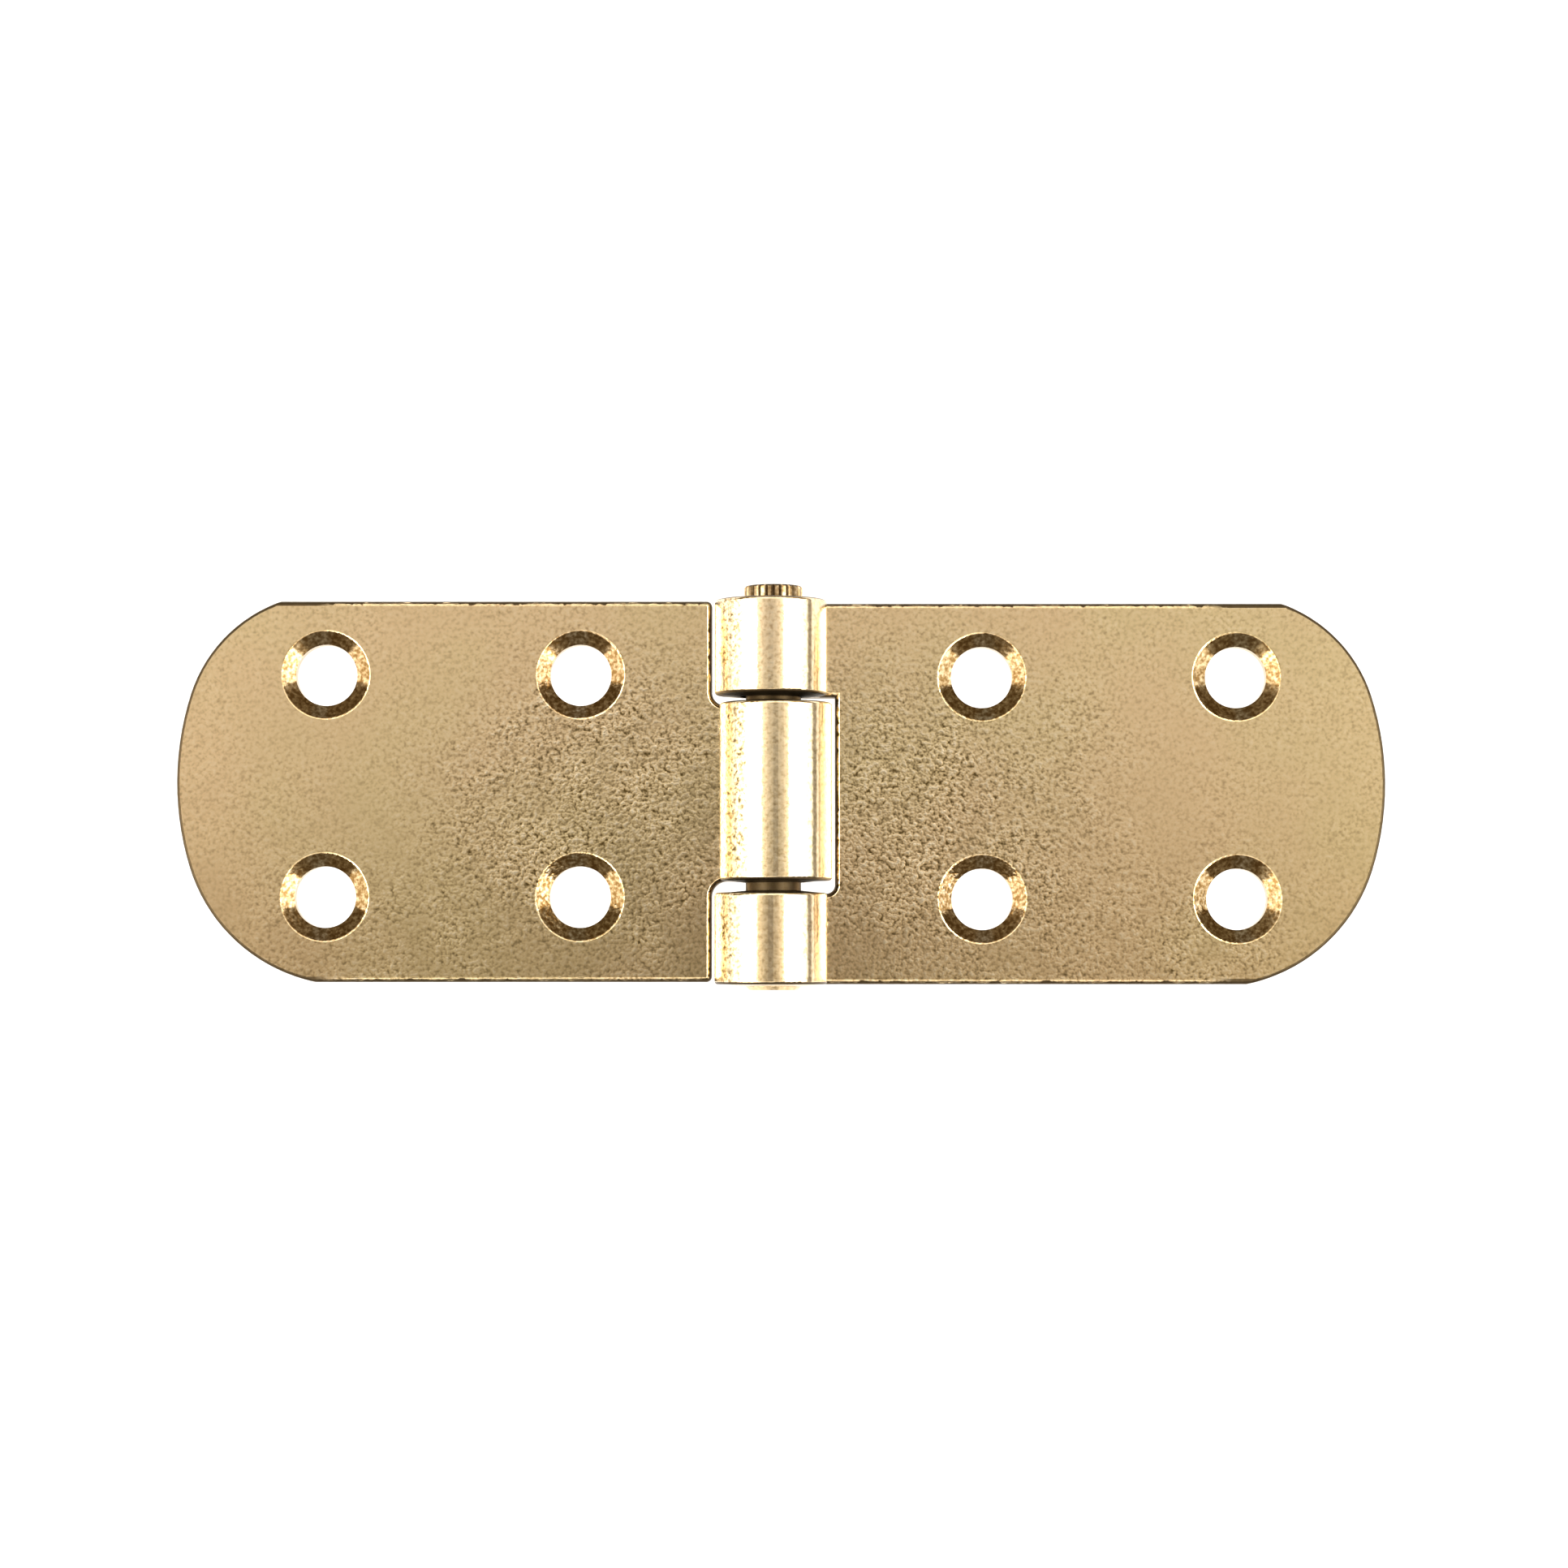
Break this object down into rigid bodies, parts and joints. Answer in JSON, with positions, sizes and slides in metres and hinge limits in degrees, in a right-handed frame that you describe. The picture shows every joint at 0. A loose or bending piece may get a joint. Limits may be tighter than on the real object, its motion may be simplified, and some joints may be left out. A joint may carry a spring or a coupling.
{
  "type": "gate hinge",
  "caption": "Flat steel gate hinge: round-ended leaves with countersunk screw holes, joined by rolled knuckles on a knurled pin.",
  "frame": {"origin": "on the leaves' back plane, straight under the pin's axis, at the middle of the post leaf's width", "axes": "+X from the pin along the post leaf, +Y along the pin towards its knurled end, +Z out of the countersunk faces"},
  "size_m": [0.11, 0.0367, 0.0097],
  "materials": {
    "leaf_plating": "satin yellow zinc on steel sheet",
    "pin_plating": "yellow zinc on drawn steel"
  },
  "bodies": {
    "post": {"post_leaf": "leaf_plating", "hinge_pin": "pin_plating"},
    "gate": {"gate_leaf": "leaf_plating"}
  },
  "joints": [
    {"name": "leaf_swing", "type": "hinge", "parent": "post", "child": "gate", "pos_m": [0, 0, 0.00485], "axis": [0, 1, 0], "range_deg": [-94, 184]}
  ]
}
